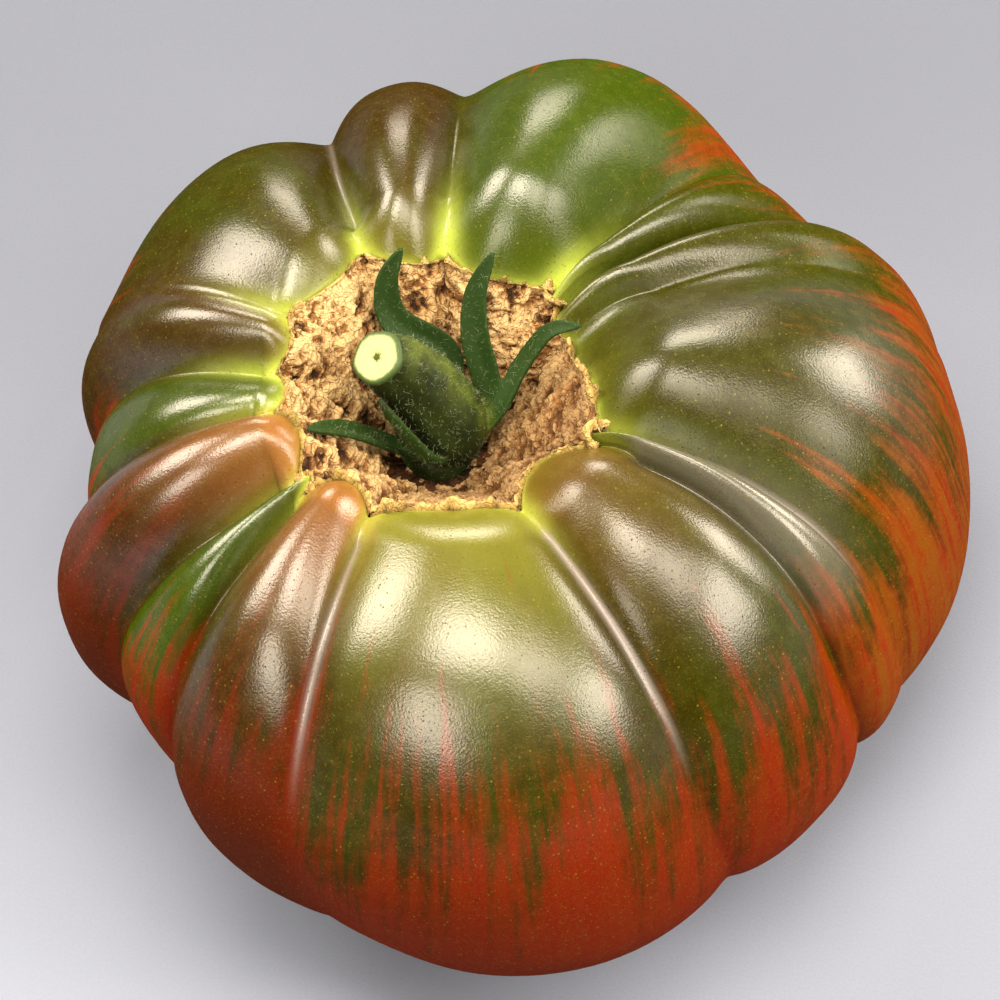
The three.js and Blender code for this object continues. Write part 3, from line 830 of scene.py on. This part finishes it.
def sepal_solid(width, path):
    """A blade folded along its middle, narrow at its root and pointed at its tip."""
    outward = np.array([path[2][0], path[2][1], 0.0])
    facing = -outward / np.linalg.norm(outward)
    facing[2] = 0.8
    shares = np.linspace(-1, 1, 13)

    def section(t):
        half = width / 2 * max(0.14, math.sqrt(1 - t**3.4)) * (0.8 + 0.2 * math.sin(math.pi * t))
        fold = 0.55 * half * smooth(t / 0.25)
        thick = lerp(0.62, 0.34, t) * (1 - 0.45 * shares**2)
        rise = fold * (np.hypot(shares, 0.18) - 0.5)
        top = np.stack([half * shares, rise + thick], 1)
        bottom = np.stack([half * shares[::-1], (rise - thick)[::-1]], 1)
        return np.concatenate([top, bottom])

    return sweep(path, 60, section, facing)


def seat_solid():
    """The receptacle that the stem and the sepals grow from."""
    outline = np.array([(2.6, 0.2), (3.9, 1.2), (SEAT_R, 1.9), (SEAT_R, 2.7), (3.9, 3.8), (2.6, 4.8)])
    turns = np.linspace(0, 2 * np.pi, 60, endpoint=False)
    rings = [np.stack([r * np.cos(turns), r * np.sin(turns), z + 0 * turns], 1) for r, z in outline]
    points = np.concatenate([*rings, [[0, 0, 0.0]], [[0, 0, 5.2]]])
    columns = len(turns)
    faces = loft_faces(len(outline), columns)
    faces += fan(len(points) - 2, 0, columns, True)
    faces += fan(len(points) - 1, (len(outline) - 1) * columns, columns, False)
    return points, faces


def fused(piece, voxel):
    """Grows overlapping solids of a piece into one skin."""
    remesh = piece.modifiers.new("grown together", "REMESH")
    remesh.mode = "VOXEL"
    remesh.voxel_size = voxel * MM
    remesh.use_smooth_shade = True
    soften = piece.modifiers.new("soft joins", "SMOOTH")
    soften.factor = 0.5
    soften.iterations = 3
    evaluated = piece.evaluated_get(bpy.context.evaluated_depsgraph_get())
    grown = bpy.data.meshes.new_from_object(evaluated)
    piece.modifiers.clear()
    grown.materials.clear()
    grown.materials.append(piece.data.materials[0])
    piece.data = grown


def stem_and_sepals():
    floor = np.array([*STEM_AXIS, FLOOR_Z])
    blades = [sepal_solid(width, path) for width, path in SEPALS]
    points, faces = joined([stem_solid(), seat_solid(), *blades])
    green = mesh_piece("stem_and_sepals", points + floor, faces, green_finish(), "green")
    fused(green, 0.2)
    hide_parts("stem_and_sepals")

    count = len(green.data.vertices)
    places = np.empty(count * 3)
    green.data.vertices.foreach_get("co", places)
    places = places.reshape(-1, 3) / MM - floor
    line = curve_points(STEM_PATH, 60)[0]
    offsets = places[:, None] - line[None]
    apart = np.linalg.norm(offsets, axis=-1)
    nearest = apart.argmin(1)
    apart = apart.min(1)
    # painted shade: how far each point faces the front, where the stem lies in shadow
    frontward = -offsets[np.arange(count), nearest, 1] / np.maximum(apart, 1)
    paint_field(green, "blade", smooth((apart - 4.6) / 1.5))
    paint_field(green, "shade", smooth((frontward - 0.1) / 0.7))
    return green


def cut_face(material):
    """The pale cut end of the stem, with its rind, its ring of vessels and its pith."""
    centres, along = curve_points(STEM_PATH, 60)
    end, out = centres[-1], along[-1]
    across = np.cross(out, (0.0, 1.0, 0.2))
    across /= np.linalg.norm(across)
    up = np.cross(across, out)
    turns = np.linspace(0, 2 * np.pi, 64, endpoint=False)
    radius = STEM_RADII[-1] * (1 + 0.025 * np.cos(5 * turns + 0.6))
    shape = (
        (1.0, -0.9), (1.03, -0.25), (1.0, -0.02), (0.93, 0.1), (0.84, 0.12),
        (0.7, 0.1), (0.55, 0.12), (0.4, 0.1), (0.25, 0.08), (0.12, 0.0),
    )
    rings = []
    for share, height in shape:
        spokes = np.cos(turns)[:, None] * across + np.sin(turns)[:, None] * up
        rings.append(end + (radius * share)[:, None] * spokes + height * out)
    middles = [end - 0.25 * out], [end - 0.9 * out]
    points = np.concatenate([*rings, *middles]) + np.array([*STEM_AXIS, FLOOR_Z])
    columns = len(turns)
    faces = loft_faces(len(shape), columns)
    faces += fan(len(points) - 2, (len(shape) - 1) * columns, columns, False)
    faces += fan(len(points) - 1, 0, columns, True)
    face = mesh_piece("stem_cut_face", points, faces, material, "green")
    paint_field(face, "radius", np.append(np.repeat([share for share, _ in shape], columns), (0.0, 1.0)))
    spoke = np.tile(np.stack([np.cos(turns), np.sin(turns), 0 * turns], 1), (len(shape), 1))
    paint_field(face, "spoke", np.vstack([spoke, np.zeros((2, 3))]))
    return face


def surface_samples(piece, count, seed):
    """Random points of a piece's surface in millimetres, their normals, and the generator that drew them."""
    mesh = piece.data
    draw = np.random.default_rng(seed)
    areas = np.empty(len(mesh.polygons))
    centres = np.empty(len(mesh.polygons) * 3)
    normals = np.empty(len(mesh.polygons) * 3)
    mesh.polygons.foreach_get("area", areas)
    mesh.polygons.foreach_get("center", centres)
    mesh.polygons.foreach_get("normal", normals)
    pick = draw.choice(len(areas), count, p=areas / areas.sum())
    return centres.reshape(-1, 3)[pick] / MM, normals.reshape(-1, 3)[pick], draw


def plant_hairs(green, material):
    """Fine pale hairs that stand off the stem and the sepals, bent at random."""
    roots, normals, draw = surface_samples(green, HAIR_COUNT, 8)
    sides = np.linspace(0, 2 * np.pi, 3, endpoint=False)
    parts = []
    for root, normal in zip(roots, normals):
        length = draw.uniform(*HAIR_LENGTHS)
        lean = normal + 0.55 * draw.normal(size=3)
        lean /= np.linalg.norm(lean)
        bend = 0.45 * draw.normal(size=3)
        side = np.cross(lean, (0.3, 0.5, 0.8))
        side /= np.linalg.norm(side)
        other = np.cross(lean, side)
        rings = []
        for t in (0.0, 0.35, 0.7):
            centre = root + length * (t * lean + t * t * bend)
            thick = lerp(*HAIR_R, t)
            rings.append(centre + thick * (np.cos(sides)[:, None] * side + np.sin(sides)[:, None] * other))
        tip = root + length * (lean + bend)
        points = np.concatenate([*rings, [tip]])
        faces = loft_faces(3, 3) + fan(9, 6, 3, False) + [(0, 2, 1)]
        parts.append((points, faces))
    mesh_piece("plant_hairs", *joined(parts), material, "green")


# Stage, light and camera
WARM_LIGHT = (1.0, 0.88, 0.71)
COOL_AIR = (0.9, 0.92, 1.0, 1.0)
AIR_STRENGTH = 0.03
# Soft boxes: name, azimuth and elevation in degrees, distance and size in metres, power in watts
SOFT_BOXES = (
    ("above", 250, 85, 0.80, 0.38, 7.5),
    ("high_right", 334, 60, 0.75, 0.34, 3.2),
    ("right", 347, 28, 0.75, 0.34, 4.8),
    ("far_right", 33, 16, 0.75, 0.34, 4.4),
    ("left", 244, 42, 0.75, 0.30, 3.2),
    ("far_left", 152, 42, 0.75, 0.40, 7.5),
    ("back", 90, 22, 0.75, 0.28, 2.5),
)
# The floor's two colours behind the fruit and in front of it, lighter in front as painted light, and half its
# side
FLOOR_FAR = ((0.132, 0.150, 0.198), (0.153, 0.172, 0.225))
FLOOR_NEAR = ((0.25, 0.282, 0.372), (0.29, 0.326, 0.425))
FLOOR_HALF = 0.5  # metres


def floor_finish():
    floor = Finish("pale_floor", Specular_IOR_Level=0.2)
    grain = floor.cloud(floor.place(), 2600.0, 2.0, 0.6)
    # painted light: the floor turns lighter towards the front
    near = floor.node("ShaderNodeSeparateXYZ", {}, {0: floor.place()}, "Y").step(0.11, -0.07)
    colour = floor.mix(near, floor.mix(grain, *FLOOR_FAR), floor.mix(grain, *FLOOR_NEAR))
    return floor.set(Base_Color=colour, Roughness=0.75 + grain * 0.1, Normal=floor.bump(grain, 0.0001, 0.4))


def stage_floor():
    mesh = bpy.data.meshes.new("floor")
    corners = [(FLOOR_HALF * x, FLOOR_HALF * y, 0) for x, y in ((-1, -1), (1, -1), (1, 1), (-1, 1))]
    mesh.from_pydata(corners, [], [(0, 1, 2, 3)])
    mesh.materials.append(floor_finish())
    floor = bpy.data.objects.new("floor", mesh)
    bpy.context.scene.collection.objects.link(floor)


def soft_box(name, azimuth, elevation, distance, size, power):
    """A square soft light that faces the fruit from this direction. Distance and size are in metres."""
    light = bpy.data.lights.new("soft_box_" + name, "AREA")
    light.shape = "SQUARE"
    light.size = size
    light.energy = power
    light.color = WARM_LIGHT
    lamp = bpy.data.objects.new("soft_box_" + name, light)
    a, e = math.radians(azimuth), math.radians(elevation)
    towards = Vector((math.cos(e) * math.cos(a), math.cos(e) * math.sin(a), math.sin(e)))
    lamp.location = Vector((0, 0, 0.04)) + towards * distance
    lamp.rotation_euler = towards.to_track_quat("Z", "Y").to_euler()
    bpy.context.scene.collection.objects.link(lamp)


def studio():
    world = bpy.data.worlds.new("studio")
    world.use_nodes = True
    air = world.node_tree.nodes["Background"]
    air.inputs["Color"].default_value = COOL_AIR
    air.inputs["Strength"].default_value = AIR_STRENGTH
    bpy.context.scene.world = world
    for box in SOFT_BOXES:
        soft_box(*box)
    bpy.context.scene.view_settings.view_transform = "Standard"


def camera():
    view = bpy.data.cameras.new("camera")
    view.lens = LENS
    view.sensor_width = 36.0
    view.clip_start = 0.01
    eye = bpy.data.objects.new("camera", view)
    elevation = math.radians(VIEW_ELEVATION)
    back = Vector((0, -math.cos(elevation), math.sin(elevation)))
    eye.location = (Vector(VIEW_TARGET) + back * VIEW_DISTANCE) * MM
    eye.rotation_euler = (math.pi / 2 - elevation, 0, 0)
    bpy.context.scene.collection.objects.link(eye)
    bpy.context.scene.camera = eye


camera()
stage_floor()
studio()
fruit_skin()
cork_crust(cork_finish())
green = stem_and_sepals()
cut_face(cut_finish())
plant_hairs(green, hair_finish())
